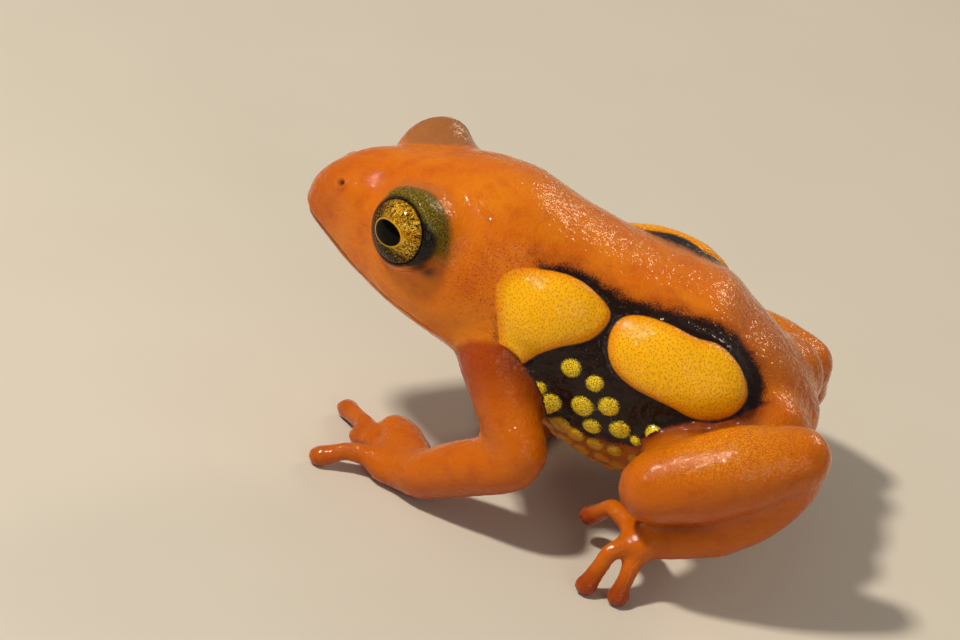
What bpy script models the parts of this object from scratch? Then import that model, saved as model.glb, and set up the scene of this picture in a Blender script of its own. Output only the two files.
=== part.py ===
"""Resplendent shrub frog, a still life-size model of one adult, about 25 mm long.

The frog sits on the floor z = 0 and faces -X, so its left side faces -Y. Sizes below are in
millimetres, x is counted backwards from the tip of the snout and z up from the floor. The last
section turns them into metres, with the origin under the middle of the frog's box.
"""

import math
import random

import bmesh
import bpy
from mathutils import Matrix, Vector

MM = 0.001
GAP = 0.3
WELD = 0.004
NORMAL_STEP = 0.02

# Most triangles that a node of each kind may have
NODE_TRIANGLES = {
    "head": 3700,
    "torso": 6200,
    "eye": 280,
    "upper_arm": 340,
    "forearm": 320,
    "hand": 950,
    "thigh": 420,
    "shank": 620,
    "foot": 1000,
}
SEED = 25

# Body: one row a station, from snout to vent
# x, half width, height of the back, of the widest line and of the belly
BODY_STATIONS = (
    (0.00, 0.36, 11.85, 11.40, 10.98),
    (0.30, 0.92, 12.52, 11.36, 10.50),
    (1.00, 1.42, 13.30, 11.22, 9.94),
    (2.20, 2.42, 14.06, 10.98, 9.16),
    (3.80, 3.56, 14.40, 10.70, 8.32),
    (5.60, 4.30, 14.80, 10.30, 7.50),
    (7.60, 4.65, 15.05, 10.00, 6.60),
    (9.60, 4.65, 15.00, 9.60, 5.70),
    (12.20, 4.75, 13.90, 8.60, 4.20),
    (15.00, 5.05, 13.00, 7.90, 2.80),
    (18.00, 5.10, 12.45, 7.50, 2.30),
    (19.40, 4.98, 12.15, 7.38, 2.60),
    (20.60, 4.60, 11.10, 7.20, 3.00),
    (22.60, 3.50, 9.70, 7.00, 4.20),
    (24.00, 2.20, 8.30, 6.80, 5.20),
    (24.80, 0.70, 7.10, 6.60, 6.10),
)
BODY_SQUARENESS = 2.15
HEAD_SIDES = 44
HEAD_RINGS = 22
TORSO_SIDES = 44
TORSO_RINGS = 26
NECK_X = 8.9

# Eyes: the ball's centre, and the way the left eye looks
EYE_CENTRE = (5.05, -3.30, 12.75)
EYE_LOOK = (-0.60, -0.79, 0.10)
EYEBALL_RADIUS = 1.72
EYE_GAP = 0.12
EYEBALL_BACK = 0.2
EYELID_RADIUS = 1.97
# How far in front of the ball's centre the lids open, and the radius of the opening there
EYELID_OPENING = ((0.8, 1.56), (1.6, 1.62), (2.6, 2.03))

# Nostrils, with the way the left one looks, and the line of the mouth
NOSTRIL = (1.45, -1.27, 12.90)
NOSTRIL_LOOK = (-1.00, -1.45, 1.50)
NOSTRIL_RIM = (0.34, 0.34, 0.27)
NOSTRIL_HOLE = 0.15
NOSTRIL_DEPTH = 0.45
MOUTH_TIP_X = 0.05
MOUTH_START_X = 0.24
MOUTH_END_X = 7.3
MOUTH_FRONT_Z = 11.05
MOUTH_BACK_Z = 8.30
MOUTH_CURVE = 0.8
MOUTH_DEPTH = 0.30
MOUTH_WIDTH = 0.20
# Width of the mouth's wedge at its inner and at its outer edge, as a share of MOUTH_WIDTH
MOUTH_TAPER = (0.4, 1.6)
MOUTH_STEPS = 18

# Large glands of each side, front and flank: place along the body, degrees up its side, half
# length, half height, rise, tilt. The right ones are a little shorter and further forward, and
# the hind one of them stands higher.
LEFT_GLANDS = (
    (12.1, 26.0, 2.55, 2.05, 0.50, 0.0),
    (18.1, 31.0, 3.40, 1.95, 0.60, -13.0),
)
RIGHT_GLANDS = (
    (11.45, 22.0, 1.95, 1.95, 0.45, 0.0),
    (16.5, 34.0, 3.10, 2.10, 0.75, -8.0),
)
GLAND_SUNK = 0.55

# Yellow warts on the dark flank: place along the body, degrees up its side, radius
FLANK_WARTS = (
    (13.4, 5.0, 0.45),
    (14.6, 5.0, 0.38),
    (15.6, -2.0, 0.47),
    (17.7, -5.0, 0.38),
    (12.0, -18.0, 0.34),
    (12.9, -21.0, 0.53),
    (14.4, -10.0, 0.51),
    (15.0, -20.0, 0.42),
    (16.3, -13.0, 0.47),
    (17.2, -15.0, 0.28),
    (13.6, -36.0, 0.53),
)

# Paler granules under the belly, in rows: first and last place along the body, degrees up its
# side at each, count, radius
GRANULE_ROWS = (
    (14.5, 19.4, -36.0, -28.0, 5, 0.38),
    (11.6, 19.8, -49.0, -45.0, 8, 0.42),
    (11.1, 20.2, -63.0, -63.0, 8, 0.42),
    (11.6, 20.0, -78.0, -78.0, 8, 0.42),
)
WART_RISE = 0.16
WART_SUNK = 0.20
WART_VARIATION = 0.15
GRANULE_SHIFT = 0.12
GRANULE_TURN = 2.0

# Arms: joints of the left arm and of the right one, which is set further back, and finger tips,
# each with the height of its finger's arch
LEFT_ARM = {
    "shoulder": (9.9, -3.6, 7.9),
    "elbow": (12.25, -6.3, 4.4),
    "wrist": (8.1, -4.7, 1.35),
    "palm": (6.8, -3.5, 0.80),
    "thumb": (6.60, -1.65, 1.20),
    "tips": (
        (6.6, -0.3, 0.50, 0.25),
        (4.0, 0.6, 0.42, 0.25),
        (4.9, -1.4, 0.42, 0.25),
        (3.45, -3.95, 0.42, 0.45),
    ),
}
RIGHT_ARM = {
    "shoulder": (9.9, 3.6, 7.9),
    "elbow": (14.4, 6.7, 5.2),
    "wrist": (13.6, 5.3, 1.5),
    "palm": (12.6, 4.6, 0.80),
    "thumb": (13.0, 3.3, 1.15),
    "tips": (
        (12.6, 2.2, 0.42, 0.25),
        (10.8, 3.2, 0.42, 0.25),
        (10.6, 4.6, 0.42, 0.25),
        (11.2, 6.4, 0.42, 0.25),
    ),
}
ARM_RADII = (1.75, 1.42, 1.25, 1.32, 1.15)
UPPER_ARM_MIDDLE = 0.55
LIMB_MIDDLE = 0.50
HAND_START = 0.85
HAND_RADII = (1.15, 1.12, 0.95)
PALM_SIZE = (1.35, 1.40, 0.95)
THUMB_SIZE = (1.10, 0.95, 0.85)
LIMB_SIDES = 16

# Legs: joints of the folded left leg and of the right one, which lies lower, and toe tips, each
# with the height of its toe's arch
LEFT_LEG = {
    "hip": (22.6, -2.6, 6.9),
    "knee": (18.9, -6.0, 5.9),
    "shank_front": (18.5, -7.45, 5.6),
    "heel": (24.3, -6.2, 8.2),
    "ankle": (24.6, -6.2, 6.9),
    "instep": (22.4, -6.8, 4.2),
    "toe_root": (18.6, -7.2, 2.6),
    "tips": (
        (18.4, -4.0, 0.42, 0.35),
        (15.95, -4.6, 1.50, 0.95),
        (16.6, -8.65, 0.42, 1.05),
        (18.1, -8.85, 0.42, 0.35),
        (20.4, -6.0, 2.2, 0.35),
    ),
}
RIGHT_LEG = {
    "hip": (22.6, 2.6, 6.9),
    "knee": (18.9, 5.9, 5.4),
    "shank_front": (18.4, 7.0, 5.2),
    "heel": (23.5, 5.2, 6.2),
    "ankle": (24.05, 5.5, 4.8),
    "instep": (22.0, 6.5, 3.0),
    "toe_root": (19.0, 7.4, 1.9),
    "tips": (
        (17.2, 4.9, 0.42, 0.35),
        (16.0, 6.8, 0.42, 0.35),
        (16.3, 8.8, 0.42, 0.35),
        (17.8, 10.2, 0.42, 0.35),
        (20.2, 9.4, 0.42, 0.35),
    ),
}
THIGH_RADII = (2.1, 1.9, 1.55)
SHANK_RADII = (1.75, 2.05, 2.0, 1.50)
SHANK_MIDDLES = (0.33, 0.68)
FOOT_RADII = (0.95, 1.00, 1.08, 0.90)
SOLE_SIZE = (1.15, 1.10, 0.75)
CLEARANCE_RINGS = 40
CLEARANCE_SIDES = 32

# Fingers and toes: radii at the root, the middle, before the disc and at the disc, where along its
# length each digit has those places, and the share of its arch that is left before the disc
FINGER_RADII = (0.62, 0.46, 0.44, 0.50)
TOE_RADII = (0.62, 0.46, 0.42, 0.50)
DIGIT_START = 0.12
DIGIT_MIDDLE = 0.55
DISC_START = 0.85
DISC_BOW = 0.35

SKIN_ORANGE = (0.72, 0.22, 0.012, 1.0)
EYE_GOLD = (0.35, 0.22, 0.03, 1.0)
SKIN_ROUGHNESS = 0.3
EYE_ROUGHNESS = 0.1


# Curves and closed surfaces that every piece is made from
def blend(values, t):
    """Value of a smooth curve through evenly spaced values, t from 0 to 1."""
    span = t * (len(values) - 1)
    i = min(int(span), len(values) - 2)
    u = span - i
    before = values[max(i - 1, 0)]
    start = values[i]
    end = values[i + 1]
    after = values[min(i + 2, len(values) - 1)]
    slope_in = (end - before) * 0.5
    slope_out = (after - start) * 0.5
    cube = (start - end) * 2 + slope_in + slope_out
    square = (end - start) * 3 - slope_in * 2 - slope_out
    return cube * u**3 + square * u**2 + slope_in * u + start


def station_at(x):
    """Half width, back, widest line and belly of the body at x."""
    last = len(BODY_STATIONS) - 2
    i = max(k for k in range(last + 1) if BODY_STATIONS[k][0] <= x or k == 0)
    rows = [BODY_STATIONS[min(max(k, 0), last + 1)] for k in (i - 1, i, i + 1, i + 2)]
    u = (x - rows[1][0]) / (rows[2][0] - rows[1][0])
    sizes = []
    for column in range(1, 5):
        before, start, end, after = (row[column] for row in rows)
        step = rows[2][0] - rows[1][0]
        slope_in = (end - before) / max(rows[2][0] - rows[0][0], 1e-6) * step
        slope_out = (after - start) / max(rows[3][0] - rows[1][0], 1e-6) * step
        cube = (start - end) * 2 + slope_in + slope_out
        square = (end - start) * 3 - slope_in * 2 - slope_out
        sizes.append(cube * u**3 + square * u**2 + slope_in * u + start)
    return sizes


def body_point(x, angle):
    """Point of the body's surface at x, angle 0 on the left side and 90 degrees on the back."""
    width, back, middle, belly = station_at(x)
    power = 2 / BODY_SQUARENESS
    across = math.copysign(abs(math.cos(angle)) ** power, math.cos(angle))
    up = math.copysign(abs(math.sin(angle)) ** power, math.sin(angle))
    height = back - middle if up > 0 else middle - belly
    return Vector((x, -width * across, middle + height * up))


def new_object(name, mesh_data):
    """Add a mesh object of that name to the scene."""
    mesh = bpy.data.meshes.new(name)
    mesh_data.to_mesh(mesh)
    mesh_data.free()
    piece = bpy.data.objects.new(name, mesh)
    bpy.context.collection.objects.link(piece)
    return piece


def loft(name, rings):
    """Closed surface through rings of points, with a fan over each end."""
    surface = bmesh.new()
    rows = [[surface.verts.new(point) for point in ring] for ring in rings]
    count = len(rows[0])
    for row, following in zip(rows, rows[1:]):
        for i in range(count):
            j = (i + 1) % count
            surface.faces.new((row[i], row[j], following[j], following[i]))
    for row in (rows[0], rows[-1]):
        centre = surface.verts.new(sum((v.co for v in row), Vector()) / count)
        for i in range(count):
            surface.faces.new((row[(i + 1) % count], row[i], centre))
    bmesh.ops.recalc_face_normals(surface, faces=surface.faces)
    return new_object(name, surface)


def tube(name, path, radii, sides=LIMB_SIDES, rings=14, round_ends=True):
    """Closed round limb along a smooth path; radii belong to the path's points."""
    points = [Vector(point) for point in path]
    steps = [k / (rings - 1) for k in range(rings)]
    centres = [blend(points, t) for t in steps]
    sizes = [blend(list(radii), t) for t in steps]
    if round_ends:
        centres, sizes = rounded_ends(centres, sizes)
    side = Vector((0, 0, 1)).cross(centres[1] - centres[0]).normalized()
    sections = []
    for k, (centre, size) in enumerate(zip(centres, sizes)):
        ahead = centres[min(k + 1, len(centres) - 1)] - centres[max(k - 1, 0)]
        ahead.normalize()
        side = (side - ahead * side.dot(ahead)).normalized()
        up = ahead.cross(side)
        ring = []
        for i in range(sides):
            angle = 2 * math.pi * i / sides
            ring.append(centre + side * size * math.cos(angle) + up * size * math.sin(angle))
        sections.append(ring)
    return loft(name, sections)


def rounded_ends(centres, sizes, caps=3, off_pole=0.35):
    """Add a half ball at each end of a limb's centre line, its first ring a little off the pole."""
    for _ in range(2):
        outward = (centres[0] - centres[1]).normalized()
        cap_centres = []
        cap_sizes = []
        for k in range(caps):
            angle = math.pi / 2 * (k + off_pole) / caps
            cap_centres.append(centres[0] + outward * sizes[0] * math.cos(angle))
            cap_sizes.append(sizes[0] * math.sin(angle))
        centres = (cap_centres + centres)[::-1]
        sizes = (cap_sizes + sizes)[::-1]
    return centres, sizes


def ball(name, centre, radii, turn=None, segments=20, rings=12):
    """Closed ellipsoid; turn is a rotation matrix."""
    surface = bmesh.new()
    bmesh.ops.create_uvsphere(surface, u_segments=segments, v_segments=rings, radius=1.0)
    scale = Matrix.Diagonal((*radii, 1.0))
    place = Matrix.Translation(Vector(centre)) @ (turn or Matrix()) @ scale
    bmesh.ops.transform(surface, matrix=place, verts=surface.verts)
    return new_object(name, surface)


def facing(direction, tilt=0.0):
    """Rotation whose Z looks along direction and whose X runs backwards, dipped by tilt degrees."""
    normal = Vector(direction).normalized()
    along = Vector((1, 0, 0))
    along = (along - normal * along.dot(normal)).normalized()
    turn = Matrix((along, normal.cross(along), normal)).transposed().to_4x4()
    return turn @ Matrix.Rotation(math.radians(tilt), 4, "Z")


def mirrored(values):
    """The same place or direction on the frog's other side."""
    return (values[0], -values[1], values[2])


# Joining and cutting
def boolean(piece, others, operation, solver="EXACT"):
    """Apply one Boolean between piece and a list of closed objects, then remove those."""
    group = bpy.data.collections.new("operands")
    for other in others:
        group.objects.link(other)
    modifier = piece.modifiers.new(operation.lower(), "BOOLEAN")
    modifier.operation = operation
    modifier.operand_type = "COLLECTION"
    modifier.collection = group
    modifier.solver = solver
    apply_modifiers(piece)
    bpy.data.collections.remove(group)
    for other in others:
        bpy.data.objects.remove(other)
    keep_largest(piece)


def apply_modifiers(piece):
    """Give a piece the mesh that its modifiers make."""
    bpy.context.view_layer.update()
    evaluated = piece.evaluated_get(bpy.context.evaluated_depsgraph_get())
    result = bpy.data.meshes.new_from_object(evaluated)
    piece.modifiers.clear()
    piece.data = result


def keep_largest(piece):
    """Weld slivers and keep only the largest closed surface of a piece."""
    surface = bmesh.new()
    surface.from_mesh(piece.data)
    bmesh.ops.remove_doubles(surface, verts=surface.verts, dist=WELD)
    bmesh.ops.dissolve_degenerate(surface, edges=surface.edges, dist=WELD)
    bmesh.ops.triangulate(surface, faces=surface.faces)
    unseen = set(surface.verts)
    shells = []
    while unseen:
        shell = []
        front = [unseen.pop()]
        while front:
            vertex = front.pop()
            shell.append(vertex)
            for edge in vertex.link_edges:
                other = edge.other_vert(vertex)
                if other in unseen:
                    unseen.remove(other)
                    front.append(other)
        shells.append(shell)
    shells.sort(key=len)
    for shell in shells[:-1]:
        bmesh.ops.delete(surface, geom=shell, context="VERTS")
    surface.to_mesh(piece.data)
    surface.free()


def cut_flat(piece, point, normal):
    """Cut away what lies in front of a plane and close the cut."""
    surface = bmesh.new()
    surface.from_mesh(piece.data)
    everything = list(surface.verts) + list(surface.edges) + list(surface.faces)
    cut = bmesh.ops.bisect_plane(
        surface, geom=everything, plane_co=point, plane_no=normal, clear_outer=True
    )
    edges = [item for item in cut["geom_cut"] if isinstance(item, bmesh.types.BMEdge)]
    if edges:
        bmesh.ops.holes_fill(surface, edges=edges)
    bmesh.ops.recalc_face_normals(surface, faces=surface.faces)
    surface.to_mesh(piece.data)
    surface.free()


def finish(piece, kind, side_name, colour, roughness):
    """Name a node, thin it to its share of triangles, give it a material and shade it smooth."""
    piece.name = kind + side_name
    count = sum(len(face.vertices) - 2 for face in piece.data.polygons)
    if count > NODE_TRIANGLES[kind]:
        thin = piece.modifiers.new("thin", "DECIMATE")
        thin.ratio = NODE_TRIANGLES[kind] / count
        apply_modifiers(piece)
    material = bpy.data.materials.new(piece.name)
    material.use_nodes = True
    shader = material.node_tree.nodes["Principled BSDF"]
    shader.inputs["Base Color"].default_value = colour
    shader.inputs["Roughness"].default_value = roughness
    piece.data.materials.clear()
    piece.data.materials.append(material)
    piece.data.shade_smooth()


# Body: a loft through the stations, and places on its surface
def body_loft(name, start, end, rings, sides, grow=0.0):
    """Stretch of the body; its rings crowd together towards the open end of the snout or vent."""
    sections = []
    for k in range(rings):
        t = k / (rings - 1)
        along = 1 - math.cos(t * math.pi / 2) if start == 0.0 else math.sin(t * math.pi / 2)
        x = start + (end - start) * along
        ring = []
        for i in range(sides):
            angle = 2 * math.pi * i / sides
            point = body_point(x, angle)
            if grow:
                point += body_normal(x, angle) * grow
            ring.append(point)
        sections.append(ring)
    return loft(name, sections)


def body_normal(x, angle):
    """Direction in which the body's surface looks."""
    inside_x = min(max(x, NORMAL_STEP), BODY_STATIONS[-1][0] - NORMAL_STEP)
    along = body_point(inside_x + NORMAL_STEP, angle) - body_point(inside_x - NORMAL_STEP, angle)
    around = body_point(inside_x, angle + NORMAL_STEP) - body_point(inside_x, angle - NORMAL_STEP)
    return along.cross(around).normalized()


def raised_oval(name, x, degrees, size, rise, sunk, tilt, side, segments, rings):
    """Closed oval bump whose lower half is sunk into the body; side is 1 left and -1 right."""
    angle = math.radians(degrees)
    place = body_point(x, angle)
    normal = body_normal(x, angle)
    if side < 0:
        place = Vector(mirrored(place))
        normal = Vector(mirrored(normal))
    turn = facing(normal, tilt * side)
    centre = place - normal * sunk
    return ball(name, centre, (*size, rise + sunk), turn, segments, rings)


def glands(side, grow=0.0):
    """The two large glands on one side of the body."""
    pieces = []
    for x, degrees, length, height, rise, tilt in LEFT_GLANDS if side > 0 else RIGHT_GLANDS:
        size = (length + grow, height + grow)
        piece = raised_oval("gland", x, degrees, size, rise + grow, GLAND_SUNK, tilt, side, 22, 10)
        pieces.append(piece)
    return pieces


def wart(x, degrees, radius, side):
    """Low round wart of that visible radius."""
    share = math.sqrt(1 - (WART_SUNK / (WART_SUNK + WART_RISE)) ** 2)
    size = (radius / share, radius / share)
    return raised_oval("wart", x, degrees, size, WART_RISE, WART_SUNK, 0.0, side, 8, 6)


def granules(side, chance):
    """Rows of belly granules, each a little out of line and of its own size."""
    pieces = []
    for first, last, start_degrees, end_degrees, count, radius in GRANULE_ROWS:
        for k in range(count):
            t = k / (count - 1)
            x = first + (last - first) * t + chance.uniform(-GRANULE_SHIFT, GRANULE_SHIFT)
            degrees = start_degrees + (end_degrees - start_degrees) * t
            degrees += chance.uniform(-GRANULE_TURN, GRANULE_TURN)
            size = radius * chance.uniform(1 - WART_VARIATION, 1 + WART_VARIATION)
            pieces.append(wart(x, degrees, size, side))
    return pieces


# Head: loft, lids over the eyes, nostrils and the line of the mouth
def eye_frame(side):
    """Centre of an eyeball and the way it looks."""
    centre = Vector(EYE_CENTRE)
    look = Vector(EYE_LOOK).normalized()
    if side < 0:
        centre = Vector(mirrored(centre))
        look = Vector(mirrored(look))
    return centre, look


def eyeball(name, side, grow=0.0):
    """Front of an eyeball, flat behind."""
    centre, look = eye_frame(side)
    radius = EYEBALL_RADIUS + grow
    piece = ball(name, centre, (radius, radius, radius), facing(look), 22, 12)
    cut_flat(piece, centre + look * (EYEBALL_BACK - grow), -look)
    return piece


def mouth_groove():
    """Thin closed wedge that runs round the snout where the lips meet."""
    inner_share, outer_share = MOUTH_TAPER
    left = []
    for k in range(MOUTH_STEPS):
        t = k / (MOUTH_STEPS - 1)
        x = MOUTH_END_X + (MOUTH_START_X - MOUTH_END_X) * math.sin(t * math.pi / 2)
        height = MOUTH_FRONT_Z + (MOUTH_BACK_Z - MOUTH_FRONT_Z) * (x / MOUTH_END_X) ** MOUTH_CURVE
        left.append(point_at_height(x, height))
    tip = [Vector((MOUTH_TIP_X, 0, MOUTH_FRONT_Z))]
    path = left + tip + [Vector(mirrored(point)) for point in reversed(left)]
    sections = []
    for k, point in enumerate(path):
        ahead = path[min(k + 1, len(path) - 1)] - path[max(k - 1, 0)]
        outward = Vector((ahead.y, -ahead.x, 0)).normalized()
        if outward.dot(point - Vector(EYE_CENTRE).lerp(Vector(mirrored(EYE_CENTRE)), 0.5)) < 0:
            outward = -outward
        inner_up = Vector((0, 0, MOUTH_WIDTH / 2 * inner_share))
        outer_up = Vector((0, 0, MOUTH_WIDTH / 2 * outer_share))
        inner = point - outward * MOUTH_DEPTH
        outer = point + outward * MOUTH_DEPTH
        sections.append([inner - inner_up, outer - outer_up, outer + outer_up, inner + inner_up])
    return loft("mouth", sections)


def point_at_height(x, height):
    """Point of the lower left side of the body at x and height."""
    width, back, middle, belly = station_at(x)
    share = min(max((middle - height) / (middle - belly), 0.0), 1.0)
    angle = -math.asin(share ** (BODY_SQUARENESS / 2))
    return body_point(x, angle)


def build_head():
    """Head with both lids, the sockets, nostrils and mouth."""
    head = body_loft("head", 0.0, NECK_X - GAP / 2, HEAD_RINGS, HEAD_SIDES)
    added = []
    removed = [mouth_groove()]
    for side in (1, -1):
        centre, look = eye_frame(side)
        lid = (EYELID_RADIUS,) * 3
        added.append(ball("lid", centre, lid, facing(look), 24, 14))
        removed.append(eyeball("socket", side, EYE_GAP))
        opening = [centre + look * reach for reach, radius in EYELID_OPENING]
        sizes = [radius for reach, radius in EYELID_OPENING]
        removed.append(tube("opening", opening, sizes, 20, 3, False))
        place = Vector(NOSTRIL if side > 0 else mirrored(NOSTRIL))
        outward = Vector(NOSTRIL_LOOK if side > 0 else mirrored(NOSTRIL_LOOK)).normalized()
        added.append(ball("nostril", place, NOSTRIL_RIM, facing(outward), 10, 6))
        hole = (place - outward * NOSTRIL_DEPTH, place + outward * NOSTRIL_DEPTH)
        removed.append(tube("hole", hole, (NOSTRIL_HOLE, NOSTRIL_HOLE), 8, 2, False))
    boolean(head, added, "UNION")
    boolean(head, removed, "DIFFERENCE")
    return head


def build_torso():
    """Trunk with its glands, warts and belly granules."""
    chance = random.Random(SEED)
    torso = body_loft("torso", NECK_X + GAP / 2, BODY_STATIONS[-1][0], TORSO_RINGS, TORSO_SIDES)
    for side in (1, -1):
        boolean(torso, glands(side), "UNION")
        boolean(torso, [wart(*row, side) for row in FLANK_WARTS], "UNION")
        boolean(torso, granules(side, chance), "UNION")
    return torso


# Limbs: tubes that stop a gap short of the body, split at the joints
def clear_of_body(limb):
    """Cut a limb back to just outside the body and its glands."""
    end = BODY_STATIONS[-1][0]
    grown = [body_loft("clearance", 0.0, end, CLEARANCE_RINGS, CLEARANCE_SIDES, GAP)]
    side = 1 if sum(v.co.y for v in limb.data.vertices) < 0 else -1
    grown += glands(side, GAP)
    for other in grown:
        boolean(limb, [other], "DIFFERENCE")


def split(piece, point, direction):
    """Cut a piece in two by a thin gap; the second part lies along direction."""
    second = piece.copy()
    second.data = piece.data.copy()
    bpy.context.collection.objects.link(second)
    direction = Vector(direction).normalized()
    cut_flat(piece, Vector(point) - direction * GAP / 2, direction)
    cut_flat(second, Vector(point) + direction * GAP / 2, -direction)
    keep_largest(piece)
    keep_largest(second)
    return piece, second


def digits(root, tips, radii):
    """Fingers or toes that leave root in an arch of their own height and end in a small disc."""
    pieces = []
    for *tip, bow in tips:
        end = Vector(tip)
        start = Vector(root).lerp(end, DIGIT_START)
        middle = start.lerp(end, DIGIT_MIDDLE) + Vector((0, 0, bow))
        before_disc = start.lerp(end, DISC_START) + Vector((0, 0, bow * DISC_BOW))
        pieces.append(tube("digit", (start, middle, before_disc, end), radii, 8, 6))
    return pieces


def build_arm(joints, side_name):
    """Upper arm, forearm and hand of one side."""
    shoulder, elbow, wrist, palm = (Vector(joints[k]) for k in ("shoulder", "elbow", "wrist", "palm"))
    upper_middle = shoulder.lerp(elbow, UPPER_ARM_MIDDLE)
    lower_middle = elbow.lerp(wrist, LIMB_MIDDLE)
    arm = tube("arm", (shoulder, upper_middle, elbow, lower_middle, wrist), ARM_RADII, LIMB_SIDES, 16)
    clear_of_body(arm)
    fold = (wrist - elbow).normalized() - (shoulder - elbow).normalized()
    upper, lower = split(arm, elbow, fold)
    hand = tube("hand", (elbow.lerp(wrist, HAND_START), wrist, palm), HAND_RADII, LIMB_SIDES, 6)
    palm_turn = Matrix.Rotation(math.atan2((palm - wrist).y, (palm - wrist).x), 4, "Z")
    parts = digits(palm, joints["tips"], FINGER_RADII)
    parts.append(ball("palm", palm, PALM_SIZE, palm_turn, 16, 10))
    parts.append(ball("thumb", joints["thumb"], THUMB_SIZE, palm_turn, 12, 8))
    boolean(hand, parts, "UNION")
    cut_flat(hand, Vector((0, 0, 0)), Vector((0, 0, -1)))
    reach = (palm - wrist).normalized()
    cut_flat(lower, wrist - reach * GAP / 2, reach)
    cut_flat(hand, wrist + reach * GAP / 2, -reach)
    keep_largest(hand)
    finish(upper, "upper_arm", side_name, SKIN_ORANGE, SKIN_ROUGHNESS)
    finish(lower, "forearm", side_name, SKIN_ORANGE, SKIN_ROUGHNESS)
    finish(hand, "hand", side_name, SKIN_ORANGE, SKIN_ROUGHNESS)


def build_leg(joints, side_name):
    """Thigh, shank and foot of one side, folded on each other."""
    hip, knee, front, heel = (Vector(joints[k]) for k in ("hip", "knee", "shank_front", "heel"))
    thigh_path = (hip, hip.lerp(knee, LIMB_MIDDLE), knee)
    shank_path = (front, *(front.lerp(heel, share) for share in SHANK_MIDDLES), heel)
    foot_path = [Vector(joints[k]) for k in ("heel", "ankle", "instep", "toe_root")]
    thigh = tube("thigh", thigh_path, THIGH_RADII, LIMB_SIDES, 9)
    shank = tube("shank", shank_path, SHANK_RADII, LIMB_SIDES, 10)
    foot = tube("foot", foot_path, FOOT_RADII, 12, 11)
    parts = digits(foot_path[-1], joints["tips"], TOE_RADII)
    parts.append(ball("sole", foot_path[-1], SOLE_SIZE, None, 14, 8))
    boolean(foot, parts, "UNION")
    cut_flat(foot, Vector((0, 0, 0)), Vector((0, 0, -1)))
    clear_of_body(thigh)
    clear_of_body(shank)
    grown_thigh = tube("clearance", thigh_path, [r + GAP for r in THIGH_RADII], LIMB_SIDES, 9)
    boolean(shank, [grown_thigh], "DIFFERENCE")
    grown_shank = tube("clearance", shank_path, [r + GAP for r in SHANK_RADII], LIMB_SIDES, 10)
    boolean(foot, [grown_shank], "DIFFERENCE")
    grown_thigh = tube("clearance", thigh_path, [r + GAP for r in THIGH_RADII], LIMB_SIDES, 9)
    boolean(foot, [grown_thigh], "DIFFERENCE")
    finish(thigh, "thigh", side_name, SKIN_ORANGE, SKIN_ROUGHNESS)
    finish(shank, "shank", side_name, SKIN_ORANGE, SKIN_ROUGHNESS)
    finish(foot, "foot", side_name, SKIN_ORANGE, SKIN_ROUGHNESS)


# The whole frog, in metres, with the origin under the middle of its box
for old in list(bpy.data.objects):
    bpy.data.objects.remove(old)

finish(build_head(), "head", "", SKIN_ORANGE, SKIN_ROUGHNESS)
finish(build_torso(), "torso", "", SKIN_ORANGE, SKIN_ROUGHNESS)
finish(eyeball("eye", 1), "eye", "_left", EYE_GOLD, EYE_ROUGHNESS)
finish(eyeball("eye", -1), "eye", "_right", EYE_GOLD, EYE_ROUGHNESS)
build_arm(LEFT_ARM, "_left")
build_arm(RIGHT_ARM, "_right")
build_leg(LEFT_LEG, "_left")
build_leg(RIGHT_LEG, "_right")

corners = [v.co for piece in bpy.data.objects for v in piece.data.vertices]
for corner in corners:
    corner.z = max(corner.z, 0.0)
low = [min(corner[axis] for corner in corners) for axis in range(3)]
high = [max(corner[axis] for corner in corners) for axis in range(3)]
SHIFT = Vector((-(low[0] + high[0]) / 2, -(low[1] + high[1]) / 2, 0.0))
for piece in bpy.data.objects:
    piece.data.transform(Matrix.Scale(MM, 4) @ Matrix.Translation(SHIFT))
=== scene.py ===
"""Resplendent shrub frog: the wet skin and the eyes of a still, life-size model.

The frog faces -X and its left side faces -Y. Sizes and places are in millimetres as the animal is
measured: x back from the tip of the snout, y from its midline, z up from the floor. Places on the
trunk are also given as (x, degrees up its side), 0 on the widest line and 90 on the back.
"""
import math
import random

import bpy
import numpy as np
from mathutils import Matrix, Vector, noise
from mathutils.bvhtree import BVHTree


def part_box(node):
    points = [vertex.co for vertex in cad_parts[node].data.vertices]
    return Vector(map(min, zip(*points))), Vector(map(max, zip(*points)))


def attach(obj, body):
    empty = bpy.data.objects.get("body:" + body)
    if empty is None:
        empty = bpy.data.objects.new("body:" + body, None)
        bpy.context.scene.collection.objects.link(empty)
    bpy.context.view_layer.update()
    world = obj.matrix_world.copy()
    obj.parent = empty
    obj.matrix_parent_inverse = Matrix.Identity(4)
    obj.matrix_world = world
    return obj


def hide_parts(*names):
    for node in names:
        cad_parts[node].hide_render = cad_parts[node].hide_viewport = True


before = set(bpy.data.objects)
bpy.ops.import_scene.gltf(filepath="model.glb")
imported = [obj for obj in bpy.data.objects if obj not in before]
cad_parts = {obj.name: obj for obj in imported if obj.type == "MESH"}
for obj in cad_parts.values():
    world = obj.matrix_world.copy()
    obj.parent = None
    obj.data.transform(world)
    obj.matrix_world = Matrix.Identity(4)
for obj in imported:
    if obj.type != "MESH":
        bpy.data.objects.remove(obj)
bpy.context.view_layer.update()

# Flesh
# The frog's body and limbs, which one unbroken skin covers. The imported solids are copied, fused
# into a single closed surface without their gaps, and smoothed as living flesh is.
MM = 0.001
LIMBS = [
    limb + side
    for side in ("_left", "_right")
    for limb in ("upper_arm", "forearm", "hand", "thigh", "shank", "foot")
]
EYES = ["eye_left", "eye_right"]
TRUNK = ["head", "torso"]
WELD = 0.002
GAP_CLOSING = 0.20
SKIN_VOXEL = 0.130
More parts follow.
